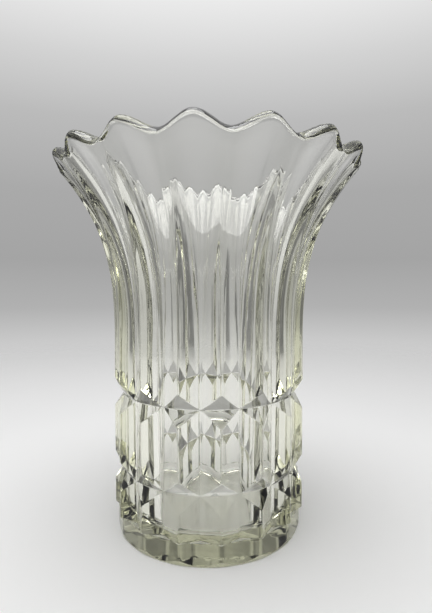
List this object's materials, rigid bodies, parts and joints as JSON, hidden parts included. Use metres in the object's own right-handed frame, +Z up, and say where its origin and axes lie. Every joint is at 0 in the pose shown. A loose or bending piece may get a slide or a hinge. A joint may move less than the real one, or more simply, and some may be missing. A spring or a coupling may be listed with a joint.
{
  "type": "fan vase",
  "caption": "Clear pressed-glass vase with a panelled foot, a pleated body crossed by rings of cut diamonds, and a flared, scalloped mouth; holds cut flowers.",
  "frame": {"origin": "centre of the flat underside", "axes": "+Z up along the vase's axis, -Y the front, X the wider way across the mouth"},
  "size_m": [0.1708, 0.1582, 0.2061],
  "materials": {
    "clear_glass": "clear pressed glass with a faint yellow-green cast, fire-polished and smooth"
  },
  "bodies": {
    "root": {"vase_body": "clear_glass"}
  },
  "joints": []
}
